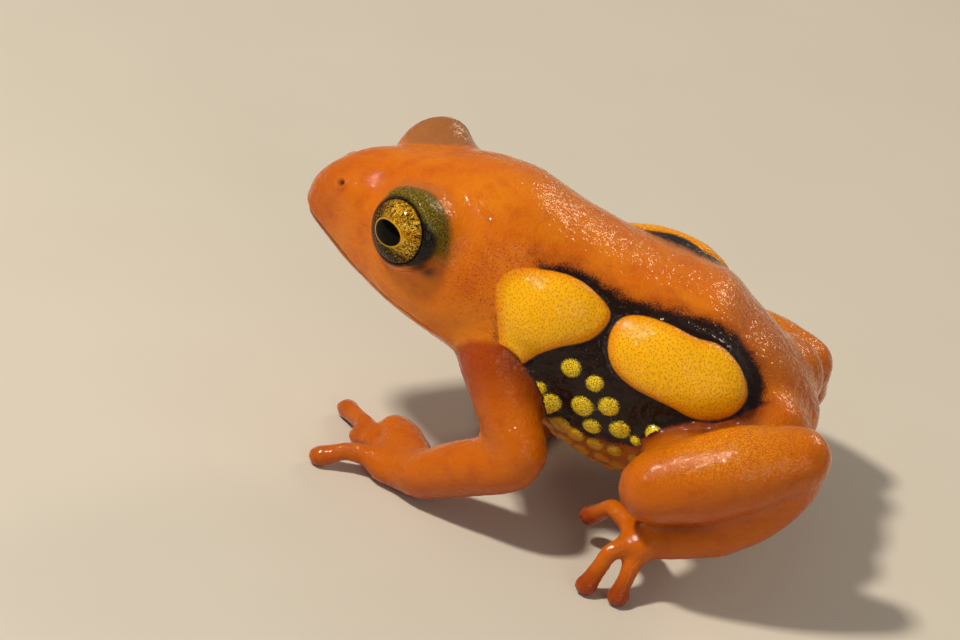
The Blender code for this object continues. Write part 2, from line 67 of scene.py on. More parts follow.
# Distances from a digit's tip between which the swelling and the smoothing grow to their full
# amount, the smoothing's share at the tips, how much more it is elsewhere, and its rounds
SWELL_REACH = (2.0, 3.2)
SMOOTH_REACH = (1.5, 3.5)
TIP_SMOOTHING = 0.10
MORE_SMOOTHING = 0.40
SMOOTH_ROUNDS = 80

snout_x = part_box("head")[0].x
midline_y = (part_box("torso")[0].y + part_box("torso")[1].y) / 2
to_frame = Matrix.Translation((snout_x, midline_y, 0)) @ Matrix.Scale(MM, 4)


def pick(piece):
    """Select one piece alone."""
    bpy.ops.object.select_all(action="DESELECT")
    piece.select_set(True)
    bpy.context.view_layer.objects.active = piece


def join(pieces, name):
    """Join pieces into one and merge its loose triangles."""
    bpy.ops.object.select_all(action="DESELECT")
    for piece in pieces:
        piece.select_set(True)
    bpy.context.view_layer.objects.active = pieces[0]
    bpy.ops.object.join()
    pieces[0].name = name
    bpy.ops.object.mode_set(mode="EDIT")
    bpy.ops.mesh.select_all(action="SELECT")
    bpy.ops.mesh.remove_doubles(threshold=WELD)
    bpy.ops.object.mode_set(mode="OBJECT")
    return pieces[0]


def shape(piece, kind, **settings):
    """Give a piece one modifier with its settings and apply it."""
    modifier = piece.modifiers.new(kind.lower(), kind)
    for name, value in settings.items():
        setattr(modifier, name, value)
    pick(piece)
    bpy.ops.object.modifier_apply(modifier=modifier.name)


def copy_in_millimetres(node):
    """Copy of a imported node, in millimetres from the frog's snout."""
    piece = bpy.data.objects.new("flesh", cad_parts[node].data.copy())
    bpy.context.collection.objects.link(piece)
    piece.data.transform(to_frame.inverted())
    return piece


def mesh_arrays(piece):
    """Places and normals of a mesh's vertices, a row each."""
    count = len(piece.data.vertices)
    places = np.empty(count * 3)
    normals = np.empty(count * 3)
    piece.data.vertices.foreach_get("co", places)
    piece.data.vertices.foreach_get("normal", normals)
    return places.reshape(-1, 3), normals.reshape(-1, 3)


def place_mesh(piece, places):
    """Move a mesh's vertices to new places."""
    piece.data.vertices.foreach_set("co", places.ravel())
    piece.data.update()


def spread(piece, values, share, rounds):
    """Rows of three values a vertex, each averaged with its neighbours by a share each round."""
    ends = np.empty(len(piece.data.edges) * 2, int)
    piece.data.edges.foreach_get("vertices", ends)
    start, end = ends.reshape(-1, 2).T
    count = np.bincount(ends, minlength=len(values))
    values = values.copy()
    for _ in range(rounds):
        for axis in range(3):
            along = values[:, axis]
            total = np.bincount(start, along[end], len(along))
            total += np.bincount(end, along[start], len(along))
            values[:, axis] = along + share * (total / count - along)
    return values


def relax(piece, share, rounds):
    """Smooth a piece, which rounds its edges and fills its creases."""
    place_mesh(piece, spread(piece, mesh_arrays(piece)[0], share, rounds))


def settle(piece, share, rounds):
    """Smooth a piece, but give its larger forms back what that took from them."""
    places = mesh_arrays(piece)[0]
    smooth = spread(piece, places, share, rounds)
    place_mesh(piece, smooth + spread(piece, places - smooth, share, rounds))


def ease(values, start, end):
    """0 before start, 1 after end, and a smooth change between."""
    share = np.clip((values - start) / (end - start), 0, 1)
    return share * share * (3 - 2 * share)


def tip_distance(places):
    """Distance of each place from the nearest tip of a finger or toe."""
    return np.min([np.linalg.norm(places - np.array(tip), axis=1) for tip in TIPS], axis=0)


def swell(piece, amount):
    """Move a surface outwards, but leave the fingers and toes as they are."""
    places, normals = mesh_arrays(piece)
    moved = amount * ease(tip_distance(places), *SWELL_REACH)
    place_mesh(piece, places + normals * moved[:, None])


# Finger and toe pads: the soft round pad at the tip of each digit, which fuses with the flesh, and
# the soft flesh between the left thumb and the palm.
FINGER_TIPS = (
    (6.6, -0.3, 0.50), (4.0, 0.6, 0.42), (4.9, -1.4, 0.42), (3.45, -3.95, 0.42),
    (12.6, 2.2, 0.42), (10.8, 3.2, 0.42), (10.6, 4.6, 0.42), (11.2, 6.4, 0.42),
)
TOE_TIPS = (
    (18.4, -4.0, 0.42), (15.95, -4.6, 1.50), (16.6, -8.65, 0.42), (18.1, -8.85, 0.42), (20.4, -6.0, 2.2),
    (17.2, 4.9, 0.42), (16.0, 6.8, 0.42), (16.3, 8.8, 0.42), (17.8, 10.2, 0.42), (20.2, 9.4, 0.42),
)
TIPS = FINGER_TIPS + TOE_TIPS
PAD_SIZE = (0.54, 0.54, 0.42)
PALM_FLESH = (((6.75, -2.55, 1.05), 0.95), ((7.5, -3.2, 1.3), 0.95), ((6.95, -2.2, 1.2), 1.0))

flesh = [copy_in_millimetres(node) for node in TRUNK + LIMBS + EYES]
pads = [(tip, PAD_SIZE) for tip in TIPS] + [(place, (r, r, r)) for place, r in PALM_FLESH]
for point, size in pads:
    bpy.ops.mesh.primitive_uv_sphere_add(
        segments=20, ring_count=12, radius=1, location=point, scale=size
    )
    bpy.ops.object.transform_apply(location=True, rotation=True, scale=True)
    flesh.append(bpy.context.active_object)

skin = join(flesh, "skin")
skin.data.materials.clear()
swell(skin, GAP_CLOSING)
shape(skin, "REMESH", mode="VOXEL", voxel_size=SKIN_VOXEL)
swell(skin, -GAP_CLOSING)
places = mesh_arrays(skin)[0]
away_from_tips = ease(tip_distance(places), *SMOOTH_REACH)
settle(skin, TIP_SMOOTHING + MORE_SMOOTHING * away_from_tips, SMOOTH_ROUNDS)

# Skin, its fine form
# The same skin where it needs a finer mesh: the face, with lids, nostrils and lips, and the flank,
# with glands and warts. Faces there are divided once. Loose skin rounds every bend of a limb.
FINE_FACE_X = 8.4
# First and last place along the trunk, lowest and highest degrees up its side
FINE_FLANK = (9.0, 22.4, -62, 66)
# Width of the stretch where a limb's skin runs into the trunk's
JOIN_WIDTH = 0.4
# Height of the trunk's widest line along it
AXIS_X = (0.0, 9.6, 15.0, 24.8)
AXIS_Z = (11.25, 9.6, 7.9, 6.6)
LOOSE_ROUNDS = 45
LOOSE_SKIN = (
    ((10.3, -4.8, 7.4), 1.3), ((10.9, -5.5, 5.1), 0.8), ((6.9, -2.5, 1.9), 0.9),
    ((22.9, -3.7, 7.4), 1.2), ((18.9, -5.9, 7.1), 0.7), ((10.6, 4.9, 7.2), 1.3),
    ((12.9, 5.8, 5.3), 0.8), ((22.9, 3.7, 6.9), 1.2), ((18.9, 5.8, 6.6), 0.7),
)


def around_trunk(places):
    """Degrees up the side of the trunk, alike on both sides."""
    height = places[:, 2] - np.interp(places[:, 0], AXIS_X, AXIS_Z)
    return np.degrees(np.arctan2(height, np.abs(places[:, 1])))


def distance_to(nodes, places):
    """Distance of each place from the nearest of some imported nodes."""
    surfaces = []
    for node in nodes:
        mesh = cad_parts[node].data
        corners = [to_frame.inverted() @ v.co for v in mesh.vertices]
        surfaces.append(BVHTree.FromPolygons(corners, [tuple(f.vertices) for f in mesh.polygons]))
    reach = [[surface.find_nearest(place)[3] for surface in surfaces] for place in places]
    return np.array(reach).min(axis=1)


def refine(piece, chosen):
    """Divide the faces whose every corner is chosen."""
    corners = [bool(chosen[list(face.vertices)].all()) for face in piece.data.polygons]
    pick(piece)
    bpy.ops.object.mode_set(mode="EDIT")
    bpy.ops.mesh.select_mode(type="FACE")
    bpy.ops.mesh.select_all(action="DESELECT")
    bpy.ops.object.mode_set(mode="OBJECT")
    piece.data.polygons.foreach_set("select", corners)
    bpy.ops.object.mode_set(mode="EDIT")
    bpy.ops.mesh.subdivide(number_cuts=1)
    bpy.ops.object.mode_set(mode="OBJECT")


places = mesh_arrays(skin)[0]
looseness = np.zeros(len(places))
for point, width in LOOSE_SKIN:
    gap = np.linalg.norm(places - np.array(point), axis=1)
    looseness = np.maximum(looseness, np.exp(-((gap / width) ** 2)))
relax(skin, 0.5 * looseness, LOOSE_ROUNDS)

places = mesh_arrays(skin)[0]
degrees = around_trunk(places)
to_trunk = distance_to(TRUNK + EYES, places)
first_x, last_x, lowest, highest = FINE_FLANK
on_face = places[:, 0] < FINE_FACE_X
on_flank = (places[:, 0] > first_x) & (places[:, 0] < last_x)
on_flank &= (degrees > lowest) & (degrees < highest)
refine(skin, (on_face | on_flank) & (to_trunk < JOIN_WIDTH))
settle(skin, 0.5, 4)

places, normals = mesh_arrays(skin)
from_limbs = distance_to(LIMBS, places) - distance_to(TRUNK + EYES, places)
limb = np.clip(0.5 - from_limbs / JOIN_WIDTH, 0, 1)
degrees = around_trunk(places)
x, y, z = places.T


def near(point, width):
    """1 at a place and less around it, both sides alike."""
    mirrored = np.column_stack((x, -np.abs(y), z))
    gap = np.linalg.norm(mirrored - np.array(point), axis=1)
    return np.exp(-((gap / width) ** 2))


# Glands
# The two large yellow swellings on each side, over the shoulder and on the flank, full of poison
# glands. Each stands out of the black flank with a crisp border. The outlines are the left side's,
# and the right side's sit a little further forward, the hind one a little higher.
TRUNK_RADIUS = 5.0
GLAND_RISE = 0.16
GLAND_SLOPE = 0.28
BORDER_DEPTH = 0.07
BORDER_WIDTH = 0.14
# How much narrower the black is above the front gland
BLACK_NARROWED = 0.28
FRONT_GLAND = (
    (9.3, 24), (9.6, 34), (10.4, 41), (11.7, 47), (12.7, 49), (13.6, 48), (14.3, 45), (14.55, 40),
    (14.3, 31), (13.7, 22), (12.7, 13), (12.0, 4), (11.5, -5), (10.9, -12), (10.35, -11),
    (10.0, -2), (9.6, 11),
)
FLANK_GLAND = (
    (14.72, 31), (14.85, 39), (15.25, 45), (16.1, 48.5), (17.1, 48.5), (18.4, 47), (19.5, 49),
    (20.3, 46.5), (20.9, 42), (21.3, 35), (21.4, 26.5), (21.0, 18), (20.2, 12.5), (19.2, 9),
    (18.2, 10), (17.2, 11), (16.2, 12.5), (15.4, 16.5), (14.9, 23),
)
DARK_FLANK = (
    (10.7, 46), (11.3, 50.5), (12.0, 54), (13.2, 55), (14.3, 53), (15.2, 54), (16.2, 55.5), (17.5, 58),
    (18.7, 59), (20.1, 60), (20.9, 57), (21.5, 52), (21.9, 43), (22.2, 30), (22.3, 12), (22.0, -6),
    (20.0, -13), (18.0, -15), (16.6, -22), (15.2, -27), (13.8, -31), (12.6, -35), (11.6, -31),
    (10.8, -22), (10.3, -14), (10.6, -4), (11.6, 12), (11.6, 30),
)
OUTLINE_STEPS = 6
RIGHT_X = (8.0, 9.4, 13.3, 16.5, 19.6, 23.0)
SAME_LEFT_X = (8.0, 9.3, 14.65, 18.1, 21.5, 23.4)

pattern_x = np.where(y > 0, np.interp(x, RIGHT_X, SAME_LEFT_X), x)
pattern_degrees = degrees + (y > 0) * (4 - 7 * ease(x, 12.5, 14.0))
flat_trunk = np.column_stack((pattern_x, np.radians(pattern_degrees) * TRUNK_RADIUS))


def signed_distance(outline):
    """Millimetres from a smooth closed outline on the side of the trunk, positive inside it."""
    knots = np.array([(across, math.radians(up) * TRUNK_RADIUS) for across, up in outline])
    before, after, beyond = (np.roll(knots, shift, axis=0) for shift in (1, -1, -2))
    curve = []
    for t in np.arange(OUTLINE_STEPS) / OUTLINE_STEPS:
        bend = (2 * before - 5 * knots + 4 * after - beyond) * t
        bend += (3 * (knots - after) + beyond - before) * t * t
        curve.append(knots + 0.5 * t * (after - before + bend))
    curve = np.stack(curve, axis=1).reshape(-1, 2)
    gap = np.full(len(flat_trunk), 9.0)
    inside = np.zeros(len(flat_trunk), bool)
    for start, end in zip(curve, np.roll(curve, -1, axis=0)):
        edge = end - start
        offset = flat_trunk - start
        share = np.clip(offset @ edge / max(edge @ edge, 1e-9), 0, 1)
        gap = np.minimum(gap, np.linalg.norm(offset - share[:, None] * edge, axis=1))
        crossing = (start[1] > flat_trunk[:, 1]) != (end[1] > flat_trunk[:, 1])
        rise = (flat_trunk[:, 1] - start[1]) / (edge[1] if abs(edge[1]) > 1e-9 else 1e-9)
        inside ^= crossing & (flat_trunk[:, 0] < start[0] + rise * edge[0])
    return np.where(inside, gap, -gap)


off_limb = 1 - ease(limb, 0.35, 0.65)
front_gland = signed_distance(FRONT_GLAND)
flank_gland = signed_distance(FLANK_GLAND)
gland = np.minimum(np.maximum(front_gland, flank_gland), from_limbs * 2)
over_front_gland = (1 - ease(pattern_x, 10.8, 13.8)) * ease(degrees, 35, 42)
dark_field = signed_distance(DARK_FLANK) - BLACK_NARROWED * over_front_gland
dark = np.minimum(dark_field, from_limbs * 2)
border_crease = np.exp(-((gland / BORDER_WIDTH) ** 2)) * ease(dark, -0.3, 0.1)
shoulder_fade = np.where(front_gland > flank_gland, ease(x, 9.4, 11.4), 1.0)
gland_rise = GLAND_RISE * (1 - np.exp(-np.clip(gland, 0, None) / GLAND_SLOPE)) * shoulder_fade
places += normals * ((gland_rise - BORDER_DEPTH * border_crease) * off_limb)[:, None]

# Warts and granules
# Small round yellow warts on the black flank, and the paler cobbled granules of the belly that
# they run into. They are thickened skin, so they rise from it as low domes.
# Warts: place along the trunk, degrees up its side, radius
WARTS = (
    (13.46, 5.9, 0.44), (14.63, 5.9, 0.38), (11.97, -18.6, 0.34), (12.92, -21.1, 0.53),
    (14.37, -10.6, 0.51), (15.49, -2.3, 0.47), (13.6, -33.7, 0.53), (14.97, -18.8, 0.42),
    (16.23, -13.2, 0.47), (17.7, -5.4, 0.36), (17.07, -15.5, 0.26),
)
# Granules: first and last place, degrees up the side at each, count, radius
GRANULE_ROWS = (
    (14.4, 19.4, -35.0, -27.0, 6, 0.40),
    (11.4, 20.0, -45.0, -40.0, 11, 0.42),
    (11.0, 20.4, -55.0, -52.0, 12, 0.42),
    (10.8, 20.6, -65.0, -63.0, 12, 0.42),
    (10.8, 20.6, -76.0, -75.0, 12, 0.42),
)
GRANULE_SHIFT = 0.12
GRANULE_TURN = 2.5
GRANULE_SIZES = (0.82, 1.12)
WART_RISE = 0.13
SEED = 25
# More than any distance on the trunk
FAR_AWAY = 99.0

chance = random.Random(SEED)
domes = [(*row, 1.0) for row in WARTS] + [(*row, -1.0) for row in WARTS]
for first, last, start_degrees, end_degrees, count, radius in GRANULE_ROWS:
    for side in (1.0, -1.0):
        for k in range(count):
            t = k / (count - 1)
            along = first + (last - first) * t + chance.uniform(-GRANULE_SHIFT, GRANULE_SHIFT)
            up = start_degrees + (end_degrees - start_degrees) * t
            up += chance.uniform(-GRANULE_TURN, GRANULE_TURN)
            domes.append((along, up, radius * chance.uniform(*GRANULE_SIZES), side))

wart = np.full(len(places), -1.0)
for along, up, radius, side in domes:
    flat_gap = np.hypot(x - along, np.radians(degrees - up) * TRUNK_RADIUS)
    wrong = (limb > 0.5) | (np.sign(-y) != side)
    nearest = np.argmin(np.where(wrong, FAR_AWAY, flat_gap))
    reach = np.linalg.norm(places - places[nearest], axis=1)
    wart = np.where(limb > 0.5, wart, np.maximum(wart, radius - reach))
    dome = np.sqrt(np.clip(1 - (reach / radius) ** 2, 0, 1))
    places += normals * (WART_RISE * dome * off_limb)[:, None]

# Eyelids
# The thin lid that wraps each bulging eyeball. It is drawn back into a round dark margin, and
# inside it the skin dives behind the ball. Behind the eye the lid slopes gently into the head.
EYE_CENTRE = np.array((5.05, -3.30, 12.75))
EYE_LOOK = np.array((-0.60, -0.79, 0.17)) / np.linalg.norm((-0.60, -0.79, 0.17))
# Degrees from where the eye looks, and how far the skin lies from the ball's centre there
LID_DEGREES = (50, 54.5, 56.5, 59, 64, 84)
LID_RADII = (1.42, 1.46, 1.82, 1.90, 1.92, 1.95)
UPPER_LID_RISE = 0.10
LID_FOOT = 2.15
LID_FOOT_WIDTH = 0.32
LID_FOOT_ROUNDS = 110
EYE_REACH = 3.2

eye_forward = np.cross(EYE_LOOK, (0, 0, 1))
eye_forward /= np.linalg.norm(eye_forward)
eye_upward = np.cross(eye_forward, EYE_LOOK)
lid_radius = np.zeros(len(places))
lid_turn = np.full(len(places), 180.0)
lid_front = np.zeros(len(places))
lid_top = np.zeros(len(places))
lid_inner = np.zeros(len(places))
for side in (1.0, -1.0):
    flip = np.array((1.0, side, 1.0))
    away = (places - EYE_CENTRE * flip) * flip
    reach = np.linalg.norm(away, axis=1)
    turn = np.degrees(np.arccos(np.clip(away @ EYE_LOOK / reach, -1, 1)))
    top = away @ eye_upward / reach
    upper_lid = UPPER_LID_RISE * ease(top, 0.3, 0.8) * ease(turn, 56, 64)
    wanted = np.interp(turn, LID_DEGREES, LID_RADII) + upper_lid
    on_lid = np.where(turn > 60, 1 - ease(reach, 2.02, 2.3), 1.0)
    moved = (wanted - reach) * on_lid * (1 - ease(turn, 74, 92)) * (reach < EYE_REACH)
    places += (away * flip) / reach[:, None] * moved[:, None]
    mine = np.sign(-y) == side
    lid_radius = np.where(mine, reach + moved, lid_radius)
    lid_turn = np.where(mine, turn, lid_turn)
    lid_front = np.where(mine, away @ eye_forward / reach, lid_front)
    lid_top = np.where(mine, top, lid_top)
    lid_inner = np.where(mine, away[:, 1] / reach, lid_inner)

place_mesh(skin, places)
lid_foot = np.exp(-(((lid_radius - LID_FOOT) / LID_FOOT_WIDTH) ** 2)) * ease(lid_turn, 74, 90)
relax(skin, 0.5 * lid_foot, LID_FOOT_ROUNDS)
places, normals = mesh_arrays(skin)
x, y, z = places.T

# Nostrils and lips
# Each nostril is a slit in a small raised ring. The lips meet in a fine line that runs round the
# snout to below the ear, the upper one slightly fuller.
NOSTRIL = (1.45, -1.27, 12.95)
MOUTH_END_X = 7.3
MOUTH_FRONT_Z = 11.05
MOUTH_BACK_Z = 8.30
MOUTH_CURVE = 0.8
# Rise or depth of each form, its distance from the nostril or the line of the mouth, and its width
NOSTRIL_RING = (0.06, 0.25, 0.09)
NOSTRIL_HOLE = (0.18, 0.0, 0.12)
UPPER_LIP = (0.05, 0.26, 0.16)
LOWER_LIP = (0.03, -0.24, 0.14)
LIP_CREASE = (0.12, 0.0, 0.085)


def ridge(distance, rise, middle, width):
    """Rounded rise where a distance comes to its middle."""
    return rise * np.exp(-(((distance - middle) / width) ** 2))


nostril = places[np.argmin(np.linalg.norm(places - np.array(NOSTRIL), axis=1))]
nostril_gap = np.sqrt(-np.log(np.clip(near(nostril, 1.0), 1e-12, 1)))
slit = ridge(nostril_gap, *NOSTRIL_RING) - ridge(nostril_gap, *NOSTRIL_HOLE)
along_mouth = np.clip(x / MOUTH_END_X, 0, 1) ** MOUTH_CURVE
above_mouth = z - (MOUTH_FRONT_Z + (MOUTH_BACK_Z - MOUTH_FRONT_Z) * along_mouth)
in_mouth = (1 - ease(x, MOUTH_END_X - 0.6, MOUTH_END_X + 0.2)) * (1 - ease(limb, 0.2, 0.6))
lips = ridge(above_mouth, *UPPER_LIP) + ridge(above_mouth, *LOWER_LIP)
lips -= ridge(above_mouth, *LIP_CREASE)
places += normals * (slit + lips * in_mouth)[:, None]

# Fine wrinkles and grain
# Wet frog skin is never quite smooth: low swellings a millimetre across, and a fine grain that
# breaks up the light on the back, legs and cheeks. Where a limb folds, the crease runs deeper, by
# a share of its own hollow up to the deepest one.
FOLD_DEPTH = 1.6
DEEPEST_HOLLOW = 0.08
HOLLOW_ROUNDS = 25
SWELLING_SIZE = 1.3
SWELLING_RISE = 0.035
GRAIN_SIZE = 0.30
GRAIN_RISE = 0.011


def grain(size):
    """Smooth noise from -1 to 1 whose features are about that size."""
    return np.array([noise.noise(Vector(place) / size) for place in places])


hollow = np.sum((spread(skin, places, 0.5, HOLLOW_ROUNDS) - places) * normals, axis=1)
places -= normals * (FOLD_DEPTH * np.clip(hollow, 0, DEEPEST_HOLLOW) * limb)[:, None]
calm = (1 - 0.7 * ease(wart, -0.1, 0.05)) * ease(lid_turn, 60, 68)
wrinkles = grain(SWELLING_SIZE) * SWELLING_RISE + grain(GRAIN_SIZE) * GRAIN_RISE
places += normals * (wrinkles * calm)[:, None]
places[:, 2] = np.maximum(places[:, 2], 0.0)
place_mesh(skin, places)

# Skin's markings
# Pigment cells and the blood under the skin colour it, and some markings are painted shade and
# sheen: each marking is kept on the mesh as one number a vertex, which the skin's material turns into
# colour. Then the skin is thinned.
SKIN_TRIANGLES = 196000
# Route of the dark smudge in front of the shoulder, as places and degrees up the side
SMUDGE = ((9.2, 16), (9.7, 7), (10.0, -1), (10.2, -9), (10.3, -14))
SMUDGE_WIDTH = 0.55
# Places that carry a marking of their own, each with its width
# Painted shadow of the eye's socket, below and behind the eye
EYE_SHADOW = ((5.75, -4.80, 11.95), 0.52)
EYE_SHADOW_END = ((6.20, -4.50, 11.60), 0.36)
CHEEK_SPECKLE = ((8.6, -4.4, 11.2), 2.2)
NECK_SPECKLE = ((10.3, -3.6, 12.7), 1.5)
TEMPLE_SPECKLE = ((6.8, -3.4, 13.6), 2.2)
# Painted shadow under the jaw on the upper arm
ARMPIT_SHADOW = ((9.6, -4.4, 7.9), 2.0)
SNOUT_EDGE = ((0.5, -0.6, 10.8), 1.6)
SNOUT_TOP = ((1.0, -0.9, 12.4), 2.0)
# Gold dust of the shank, lit as a painted sheen on its upper side
SHANK_GILT_AND_SHEEN = ((21.0, -7.2, 8.6), 3.2)
# Width of the painted shade in the nostril's hole
NOSTRIL_SHADE_WIDTH = 0.13
# How red the tips of the fingers and of the toes are, and how far the red reaches
TIP_REDNESS = ((0.35, FINGER_TIPS), (0.9, TOE_TIPS))
TIP_RED_WIDTH = 0.85


def store(piece, name, values):
    """Keep one number, or one place, a vertex on a mesh under that name."""
    kind, field = ("FLOAT", "value") if values.ndim == 1 else ("FLOAT_VECTOR", "vector")
    attribute = piece.data.attributes.new(name, kind, "POINT")
    attribute.data.foreach_set(field, values.ravel().astype(np.float32))


x, y, z = places.T
smudge = np.zeros(len(places))
for (x_1, up_1), (x_2, up_2) in zip(SMUDGE, SMUDGE[1:]):
    for t in np.linspace(0, 1, 4):
        spot_x = x_1 + (x_2 - x_1) * t
        spot_up = math.radians(up_1 + (up_2 - up_1) * t) * TRUNK_RADIUS
        gap = np.hypot(flat_trunk[:, 0] - spot_x, flat_trunk[:, 1] - spot_up)
        smudge = np.maximum(smudge, np.exp(-((gap / SMUDGE_WIDTH) ** 2)) * ease(22 - up_1, 0, 22))
# Painted shadow: the eye's thin black margin widens behind the eye into the shade of the socket, joined
# by the painted shadow below it.
around_eye = np.degrees(np.arctan2(lid_top, -lid_front))
behind_eye = 1 - ease(np.abs(around_eye), 8, 52)
shade_end = 57.5 + 15 * behind_eye
eye_shade = (1 - ease(lid_turn, shade_end - 1.5, shade_end + 3 + 9 * behind_eye)) * (lid_radius < 2.6)
eye_shade = np.maximum(eye_shade, near(*EYE_SHADOW))
eye_shade = np.maximum(eye_shade, 0.9 * near(*EYE_SHADOW_END))
on_dome = 1 - ease(lid_radius, 2.08, 2.45)
olive = (1 - ease(lid_turn, 92, 108)) * ease(around_eye, -30, 5)
olive = olive * (1 - ease(around_eye, 130, 158)) * on_dome
olive_end = lid_inner + 0.65 * (y > 0)
olive = olive * (1 - ease(olive_end, 0.15, 0.5))
dusk = on_dome * ease(olive_end, 0.1, 0.5) * ease(lid_top, 0.1, 0.75) * np.where(y > 0, 1.0, 0.35)
speckle = near(*CHEEK_SPECKLE) + near(*NECK_SPECKLE) + 0.4 * near(*TEMPLE_SPECKLE)
tips = np.zeros(len(places))
for amount, row in TIP_REDNESS:
    for tip in row:
        gap = np.linalg.norm(places - np.array(tip), axis=1)
        tips = np.maximum(tips, amount * np.exp(-((gap / TIP_RED_WIDTH) ** 2)))
# Painted shade: the limbs' undersides and the upper arm under the jaw are darkened red; the snout's edge
# and top are redder.
underside = ease(-normals[:, 2], -0.3, 0.8)
jaw_shadow_on_arm = near(*ARMPIT_SHADOW) * limb
# A darker band on the thigh where it meets the black flank: partly the black running onto it, partly
# painted shade in the join.
join_band_and_shade = ease(dark_field, -0.5, 0.5) * np.exp(-((from_limbs / 0.8) ** 2)) * ease(0.5 + limb, 0.5, 1.0)
# Painted shade: the rear of the back darkens as it turns away from the light.
rump_shade = ease(x, 18.5, 22.5) * ease(degrees, 35, 60)
snout_red = 0.30 * near(*SNOUT_EDGE) + 0.28 * near(*SNOUT_TOP)
markings = {
    "gland": gland,
    "dark": dark,
    "wart": wart,
    "limb": limb,
    "olive": olive * (1 - limb),
    "dusk": 0.75 * dusk * (1 - limb),
    "nostril": np.exp(-((nostril_gap / NOSTRIL_SHADE_WIDTH) ** 2)),
    "join_band_and_shade": 0.75 * join_band_and_shade,
    "rump_shade": 0.6 * rump_shade * (1 - limb),
    "eye_shade": np.clip(eye_shade, 0, 1),
    "smudge": smudge * (1 - limb),
    "speckle": np.clip(speckle, 0, 1) * (1 - limb),
    "tips": tips,
    "red": np.clip(0.55 * underside * limb + 0.85 * jaw_shadow_on_arm + snout_red, 0, 1),
    # Painted shade in the hollows where the limbs fold
    "fold": 0.75 * ease(hollow, 0.012, 0.07) * ease(lid_turn, 84, 100),
    # Gold dust, painted as a sheen where the shank faces up
    "gilt_and_sheen": near(*SHANK_GILT_AND_SHEEN) * ease(normals[:, 2], 0.1, 0.8) * limb,
    "belly": (1 - ease(degrees, -38, -18)) * (1 - limb),
}
for name, values in markings.items():
    store(skin, name, values)
store(skin, "flat", np.column_stack((flat_trunk, 0 * x)))

shape(skin, "TRIANGULATE")
shape(skin, "DECIMATE", ratio=SKIN_TRIANGLES / len(skin.data.polygons))
skin.data.transform(to_frame)
skin.data.shade_smooth()


# Skin's material
# Living frog skin: a clear, wet, mucus-coated layer over pigment cells, with light that sinks in
# and comes back warm. That gives sharp small highlights over a soft orange glow.
def linear(code):
    """Linear colour of an sRGB hex code."""
    parts = [int(code[i:i + 2], 16) / 255 for i in (1, 3, 5)]
    return (*(c / 12.92 if c <= 0.04045 else ((c + 0.055) / 1.055) ** 2.4 for c in parts), 1.0)


def add(tree, kind, sockets=(), out=0, **settings):
    """Add a shader node and give one of its outputs; sockets holds its inputs' values or links."""
    made = tree.nodes.new("ShaderNode" + kind)
    for name, value in settings.items():
        setattr(made, name, value)
    for socket, value in dict(sockets).items():
        if isinstance(value, bpy.types.NodeSocket):
            tree.links.new(value, made.inputs[socket])
        else:
            made.inputs[socket].default_value = value
    return made.outputs[out] if made.outputs else None


def new_material(name):
    """Material with an empty node tree."""
    material = bpy.data.materials.new(name)
    material.use_nodes = True
    material.node_tree.nodes.clear()
    return material, material.node_tree


wet_skin, tree = new_material("wet frog skin")
where = add(tree, "TexCoord", out="Object")
mark = {name: add(tree, "Attribute", out="Fac", attribute_name=name) for name in markings}
patches = add(tree, "TexNoise", {"Vector": where, "Scale": 1 / (2.6 * MM), "Detail": 2.0})
cloud = add(tree, "TexNoise", {"Vector": where, "Scale": 1 / (0.8 * MM), "Detail": 3.0})
flecks = add(tree, "TexNoise", {"Vector": where, "Scale": 1 / (0.070 * MM), "Detail": 1.0})
dust = add(tree, "TexNoise", {"Vector": where, "Scale": 1 / (0.050 * MM), "Detail": 0.0})

# Orange ground of the trunk and of the limbs, in soft clouds of deeper and lighter pigment.
lighter = add(tree, "MapRange", {"Value": patches, "From Min": 0.35, "From Max": 0.7})
deeper = add(tree, "MapRange", {"Value": cloud, "From Min": 0.48, "From Max": 0.75, "To Max": 0.5})
colour = add(tree, "MixRGB", {"Fac": lighter, "Color1": linear("#D66E06"), "Color2": linear("#E0800A")})
colour = add(tree, "MixRGB", {"Fac": deeper, "Color1": colour, "Color2": linear("#BE5204")})
limb_colour = add(tree, "MixRGB", {
    "Fac": deeper, "Color1": linear("#C86602"), "Color2": linear("#B24E02"),
})
colour = add(tree, "MixRGB", {"Fac": mark["limb"], "Color1": colour, "Color2": limb_colour})

# Speckle of the cheek and neck, gold dust of the shank brightened as painted sheen on its upper
# side, and the smudge. The living frog's single dark cells are a fiftieth of a millimetre wide.
# They are drawn coarser here, so that they show.
speck_start = add(tree, "MapRange", {"Value": mark["speckle"], "To Min": 0.82, "To Max": 0.58})
speck_depth = add(tree, "Math", {0: flecks, 1: speck_start}, operation="SUBTRACT")
specks = add(tree, "MapRange", {"Value": speck_depth, "From Max": 0.07, "To Max": 0.65})
gold_dust = add(tree, "MapRange", {"Value": flecks, "From Min": 0.44, "From Max": 0.62})
gilt_and_sheen = add(tree, "Math", {0: mark["gilt_and_sheen"], 1: gold_dust}, operation="MULTIPLY")
smudge_depth = add(tree, "Math", {0: mark["smudge"], 1: flecks}, operation="MULTIPLY")
smudged = add(tree, "MapRange", {
    "Value": smudge_depth, "From Min": 0.22, "From Max": 0.62, "To Max": 0.85,
})
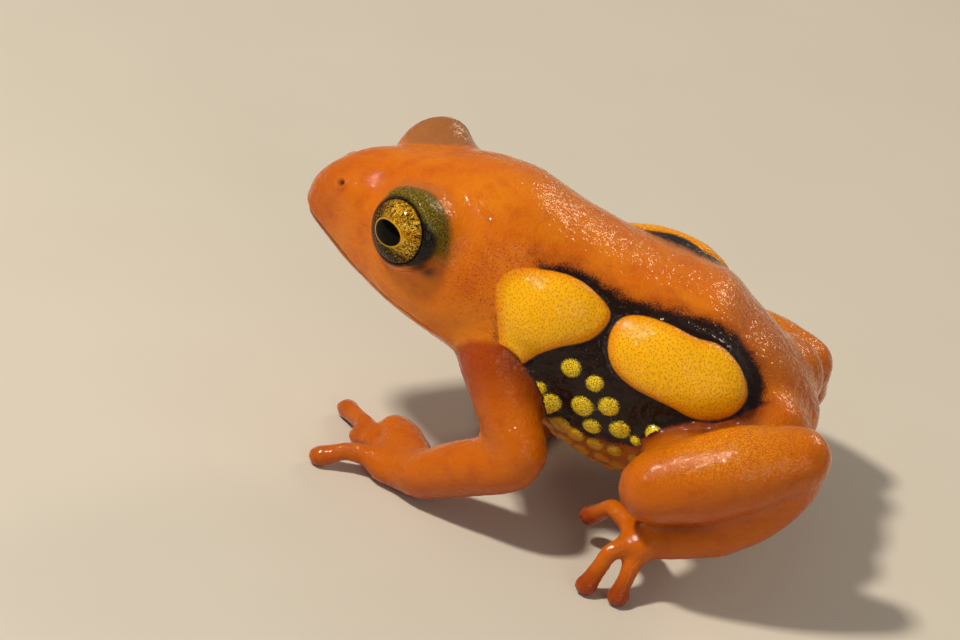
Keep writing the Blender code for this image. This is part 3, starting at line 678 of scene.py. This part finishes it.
for cover, code in (
    (mark["belly"], "#B05A08"),
    # Painted shade on the rump
    (mark["rump_shade"], "#A04C02"),
    # Painted shade under the limbs and the jaw, and the redder snout
    (mark["red"], "#942A02"),
    (mark["tips"], "#7C1404"),
    # Gold dust with its painted sheen
    (gilt_and_sheen, "#E89C1C"),
    # Painted shade in the creases
    (mark["fold"], "#5E1402"),
    # The black running onto the thigh, and painted shade in its join
    (mark["join_band_and_shade"], "#6A2403"),
    (specks, "#942F03"),
    (smudged, "#380E04"),
):
    colour = add(tree, "MixRGB", {"Fac": cover, "Color1": colour, "Color2": linear(code)})

# Black flank, whose upper edge frays into the orange through a brown stain.
mottling = add(tree, "Math", {0: cloud, 1: flecks}, operation="ADD")
fraying = add(tree, "MapRange", {"Value": mottling, "From Max": 2.0, "To Min": -0.75, "To Max": 0.75})
dark_depth = add(tree, "Math", {0: mark["dark"], 1: fraying}, operation="ADD")
stained = add(tree, "MapRange", {
    "Value": dark_depth, "From Min": -0.75, "From Max": 0.05, "To Max": 0.7,
})
black = add(tree, "MapRange", {"Value": dark_depth, "From Min": -0.24, "From Max": 0.18})
colour = add(tree, "MixRGB", {"Fac": stained, "Color1": colour, "Color2": linear("#822C03")})
colour = add(tree, "MixRGB", {"Fac": black, "Color1": colour, "Color2": linear("#1C0802")})

# Yellow warts, dusted with dark cells that are drawn coarser than the living frog's, and the orange
# granules of the belly.
dust_edge = add(tree, "MapRange", {"Value": dust, "To Min": -0.10, "To Max": 0.10})
wart_depth = add(tree, "Math", {0: mark["wart"], 1: dust_edge}, operation="ADD")
wart_cover = add(tree, "MapRange", {"Value": wart_depth, "From Min": -0.05, "From Max": 0.07})
pale = add(tree, "MapRange", {"Value": dust, "From Min": 0.32, "From Max": 0.58})
wart_colour = add(tree, "MixRGB", {
    "Fac": pale, "Color1": linear("#967208"), "Color2": linear("#FADC2C"),
})
wart_colour = add(tree, "MixRGB", {
    "Fac": mark["belly"], "Color1": wart_colour, "Color2": linear("#D08A10"),
})
colour = add(tree, "MixRGB", {"Fac": wart_cover, "Color1": colour, "Color2": wart_colour})

# Yellow glands, set all over with fine brown pores and oranger towards their borders.
flat_place = add(tree, "Attribute", out="Vector", attribute_name="flat")
pore_gap = add(tree, "TexVoronoi", {"Vector": flat_place, "Scale": 1 / 0.14}, voronoi_dimensions="2D")
pores = add(tree, "MapRange", {"Value": pore_gap, "From Min": 0.34, "From Max": 0.10, "To Max": 0.50})
gland_body = add(tree, "MapRange", {"Value": mark["gland"], "From Min": 0.0, "From Max": 0.55})
gland_cover = add(tree, "MapRange", {"Value": mark["gland"], "From Min": -0.03, "From Max": 0.05})
gland_colour = add(tree, "MixRGB", {
    "Fac": gland_body, "Color1": linear("#EE9006"), "Color2": linear("#FFBC0C"),
})
gland_colour = add(tree, "MixRGB", {
    "Fac": pores, "Color1": gland_colour, "Color2": linear("#A04A04"),
})
colour = add(tree, "MixRGB", {"Fac": gland_cover, "Color1": colour, "Color2": gland_colour})

# Olive lids with gold dust, grey-brown towards the midline, the black margin round the eye, which
# widens behind and below it into painted shadow, and painted shade in the hole of the nostril.
golden = add(tree, "MapRange", {"Value": dust, "From Min": 0.45, "From Max": 0.75})
lid_colour = add(tree, "MixRGB", {
    "Fac": golden, "Color1": linear("#4A3E0C"), "Color2": linear("#A08A20"),
})
colour = add(tree, "MixRGB", {"Fac": mark["dusk"], "Color1": colour, "Color2": linear("#8C6440")})
colour = add(tree, "MixRGB", {"Fac": mark["olive"], "Color1": colour, "Color2": lid_colour})
# The eye's black margin and its painted shadow
colour = add(tree, "MixRGB", {"Fac": mark["eye_shade"], "Color1": colour, "Color2": linear("#060301")})
# Painted shade in the nostril's hole
colour = add(tree, "MixRGB", {"Fac": mark["nostril"], "Color1": colour, "Color2": linear("#4A1404")})

# Wet surface: pebbled grains an eighth of a millimetre wide, under a film of water whose gentler
# ripples catch the light in small bright glints.
pebbles = add(tree, "TexVoronoi", {"Vector": where, "Scale": 1 / (0.12 * MM)}, feature="SMOOTH_F1")
ripples = add(tree, "TexNoise", {"Vector": where, "Scale": 1 / (0.26 * MM), "Detail": 3.0})
relief = add(tree, "Math", {0: pebbles, 1: 0.9, 2: ripples}, operation="MULTIPLY_ADD")
bump = add(tree, "Bump", {"Height": relief, "Strength": 0.5, "Distance": 0.00006})
film = add(tree, "TexNoise", {"Vector": where, "Scale": 1 / (0.34 * MM), "Detail": 2.0})
film_bump = add(tree, "Bump", {"Height": film, "Strength": 1.0, "Distance": 0.00011})
gloss = add(tree, "MapRange", {"Value": cloud, "To Min": 0.36, "To Max": 0.56})
surface = add(tree, "BsdfPrincipled", {
    "Base Color": colour,
    "Roughness": gloss,
    "Specular IOR Level": 0.08,
    "Normal": bump,
    "Subsurface Weight": 0.30,
    "Subsurface Radius": (1.0, 0.28, 0.06),
    "Subsurface Scale": 0.0006,
    "Coat Weight": 0.85,
    "Coat Roughness": 0.04,
    "Coat IOR": 1.33,
    "Coat Normal": film_bump,
})
add(tree, "OutputMaterial", {"Surface": surface})
skin.data.materials.append(wet_skin)

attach(skin, "root")
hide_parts(*TRUNK, *LIMBS)

# Eyes
# Glossy wet eyeballs with a black edge, a gold iris veined with dark lines and a level oval pupil.
# Each is turned as one ball with a slightly fuller clear front.
EYEBALL_RADIUS = 1.72
CORNEA_RISE = 0.09
CORNEA_DEGREES = (48, 62)
IRIS_RADIUS = 1.42
IRIS_FADE = 0.07
PUPIL_SIZE = (0.73, 0.52)

gold_eye, tree = new_material("gold frog eye")
iris = add(tree, "Attribute", out="Vector", attribute_name="iris")
ray = add(tree, "Attribute", out="Vector", attribute_name="ray")
from_pupil = add(tree, "Attribute", out="Fac", attribute_name="from_pupil")
from_centre = add(tree, "Attribute", out="Fac", attribute_name="from_centre")
sunlit = add(tree, "Attribute", out="Fac", attribute_name="sunlit")

# Gold of the iris, with rays that run out from the pupil and a maze of fine dark veins.
rays = add(tree, "TexNoise", {"Vector": ray, "Scale": 5.0, "Detail": 3.0, "Distortion": 0.4})
maze = add(tree, "TexNoise", {"Vector": iris, "Scale": 5.2, "Detail": 3.0, "Distortion": 1.6})
glitter = add(tree, "TexNoise", {"Vector": iris, "Scale": 16.0, "Detail": 1.0})
maze_side = add(tree, "Math", {0: maze, 1: 0.5}, operation="SUBTRACT")
maze_gap = add(tree, "Math", {0: maze_side}, operation="ABSOLUTE")
vein_share = add(tree, "MapRange", {
    "Value": from_pupil, "From Min": 1.0, "From Max": 1.7, "To Min": 0.55,
})
veins = add(tree, "MapRange", {"Value": maze_gap, "From Min": 0.07, "From Max": 0.02})
veins = add(tree, "Math", {0: veins, 1: vein_share}, operation="MULTIPLY")
gold = add(tree, "MixRGB", {"Fac": sunlit, "Color1": linear("#231A05"), "Color2": linear("#BC8012")})
shining = add(tree, "MapRange", {"Value": rays, "From Min": 0.42, "From Max": 0.64})
shining = add(tree, "Math", {0: shining, 1: sunlit}, operation="MULTIPLY")
twinkle = add(tree, "MapRange", {"Value": glitter, "From Min": 0.58, "From Max": 0.68, "To Max": 0.8})
pupil_edge = add(tree, "MapRange", {
    "Value": from_pupil, "From Min": 1.15, "From Max": 1.06, "To Max": 0.9,
})
pupil = add(tree, "MapRange", {"Value": from_pupil, "From Min": 1.03, "From Max": 0.98})
black_edge = add(tree, "MapRange", {
    "Value": from_centre, "From Min": IRIS_RADIUS - IRIS_FADE, "From Max": IRIS_RADIUS,
})
iris_colour = gold
for cover, code in (
    (shining, "#F6CC48"),
    (twinkle, "#D8A838"),
    (veins, "#120902"),
    (pupil_edge, "#D09A28"),
    (pupil, "#010101"),
    (black_edge, "#030201"),
):
    iris_colour = add(tree, "MixRGB", {"Fac": cover, "Color1": iris_colour, "Color2": linear(code)})
surface = add(tree, "BsdfPrincipled", {
    "Base Color": iris_colour,
    "Roughness": 0.5,
    "Specular IOR Level": 0.0,
    "Coat Weight": 0.5,
    "Coat Roughness": 0.02,
    "Coat IOR": 1.30,
})
add(tree, "OutputMaterial", {"Surface": surface})

for side_name, side in (("left", 1.0), ("right", -1.0)):
    flip = np.array((1.0, side, 1.0))
    centre = Vector(EYE_CENTRE * flip)
    look = Vector(EYE_LOOK * flip)
    bpy.ops.mesh.primitive_uv_sphere_add(segments=128, ring_count=96, radius=EYEBALL_RADIUS)
    eye = bpy.context.active_object
    eye.name = "eyeball_" + side_name
    eye.data.transform(Matrix.Translation(centre) @ look.to_track_quat("Z", "Y").to_matrix().to_4x4())
    places = mesh_arrays(eye)[0]
    away = places - np.array(centre)
    turn = np.degrees(np.arccos(np.clip(away @ np.array(look) / EYEBALL_RADIUS, -1, 1)))
    places += away / EYEBALL_RADIUS * (CORNEA_RISE * (1 - ease(turn, *CORNEA_DEGREES)))[:, None]
    place_mesh(eye, places)
    across = away * flip @ eye_forward
    up = away * flip @ eye_upward
    from_middle = np.hypot(across, up)
    divisor = from_middle.clip(0.05)
    store(eye, "from_pupil", np.hypot(across / PUPIL_SIZE[0], up / PUPIL_SIZE[1]))
    store(eye, "from_centre", np.where(turn < 90, from_middle, EYEBALL_RADIUS))
    store(eye, "sunlit", ease(0.8 * up - 0.75 * across, -0.45, 1.0))
    store(eye, "iris", np.column_stack((across, up, 0 * up)))
    store(eye, "ray", np.column_stack((across / divisor, up / divisor, 0.4 * from_middle)))
    eye.data.transform(to_frame)
    eye.data.shade_smooth()
    eye.data.materials.append(gold_eye)
    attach(eye, "root")
    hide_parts("eye_" + side_name)

# Floor
# A plain pale table top under the model. It is board painted matt, very slightly mottled, and one
# flat square 1.2 metres across.
FLOOR_SIZE = 1.2

bpy.ops.mesh.primitive_plane_add(size=FLOOR_SIZE)
floor = bpy.context.active_object
floor.name = "floor"
floor_paint, tree = new_material("pale painted board")
where = add(tree, "TexCoord", out="Object")
blotches = add(tree, "TexNoise", {"Vector": where, "Scale": 1 / (9.0 * MM), "Detail": 2.0})
paint = add(tree, "MixRGB", {"Fac": blotches, "Color1": linear("#D4D0C6"), "Color2": linear("#DAD6CD")})
surface = add(tree, "BsdfPrincipled", {"Base Color": paint, "Roughness": 0.65})
add(tree, "OutputMaterial", {"Surface": surface})
floor.data.materials.append(floor_paint)

# Camera
# A long lens looks down on the frog's left side. It is tilted, because the frog sat on a slope and
# the model sits level. The picture's centre is given from the snout: right, up and towards the lens.
VIEW_AZIMUTH = 1.4
VIEW_ELEVATION = 30.8
VIEW_ROLL = 14.3
LENS = 300
SENSOR = 36
PIXELS_PER_MM = 22.4
PICTURE_WIDTH = 960
FRAME_CENTRE = (7.723, -5.580, 2.5)
SNOUT_HEIGHT = 11.1

azimuth, elevation, roll = (math.radians(v) for v in (VIEW_AZIMUTH, VIEW_ELEVATION, VIEW_ROLL))
level = Vector((math.cos(azimuth), math.sin(azimuth), 0))
backward = Vector((
    math.sin(azimuth) * math.cos(elevation),
    -math.cos(azimuth) * math.cos(elevation),
    math.sin(elevation),
))
rising = backward.cross(level)
right = level * math.cos(roll) + rising * math.sin(roll)
upright = rising * math.cos(roll) - level * math.sin(roll)
distance = LENS / SENSOR * PICTURE_WIDTH / PIXELS_PER_MM
target = Vector((0, 0, SNOUT_HEIGHT))
target += right * FRAME_CENTRE[0] + upright * FRAME_CENTRE[1] + backward * FRAME_CENTRE[2]
turned = Matrix((right, upright, backward)).transposed().to_4x4()
bpy.ops.object.camera_add()
camera = bpy.context.active_object
camera.name = "camera"
camera.matrix_world = Matrix.Translation(to_frame @ (target + backward * distance)) @ turned
camera.data.lens = LENS
camera.data.sensor_width = SENSOR
camera.data.clip_start = 0.01
bpy.context.scene.camera = camera

# Lights
# Soft studio light: a high key lamp from the frog's front left, a wide fill beside the camera, a
# low warm lamp behind, and an even pale surround.
LIT_PLACE = (11, 0, 7)
# Name, direction from the frog, distance and size in metres, power in watts, colour
LAMPS = (
    ("key", (-0.477, -0.237, 0.832), 0.22, 0.022, 0.40, "#FFF1DC"),
    ("fill", (0.45, -0.80, 0.40), 0.35, 0.16, 0.16, "#FFF4E4"),
    ("back", (0.45, 0.75, 0.50), 0.25, 0.06, 0.12, "#FFE6C4"),
)
WORLD_STRENGTH = 0.24

aim = to_frame @ Vector(LIT_PLACE)
for name, direction, lamp_distance, size, power, tint in LAMPS:
    outward = Vector(direction).normalized()
    bpy.ops.object.light_add(type="AREA", location=aim + outward * lamp_distance)
    lamp = bpy.context.active_object
    lamp.name = name
    lamp.rotation_euler = outward.to_track_quat("Z", "Y").to_euler()
    lamp.data.size = size
    lamp.data.energy = power
    lamp.data.color = linear(tint)[:3]

world = bpy.data.worlds.new("surround")
world.use_nodes = True
world.node_tree.nodes["Background"].inputs["Color"].default_value = linear("#E9E6E0")
world.node_tree.nodes["Background"].inputs["Strength"].default_value = WORLD_STRENGTH
bpy.context.scene.world = world
bpy.context.scene.view_settings.view_transform = "Standard"
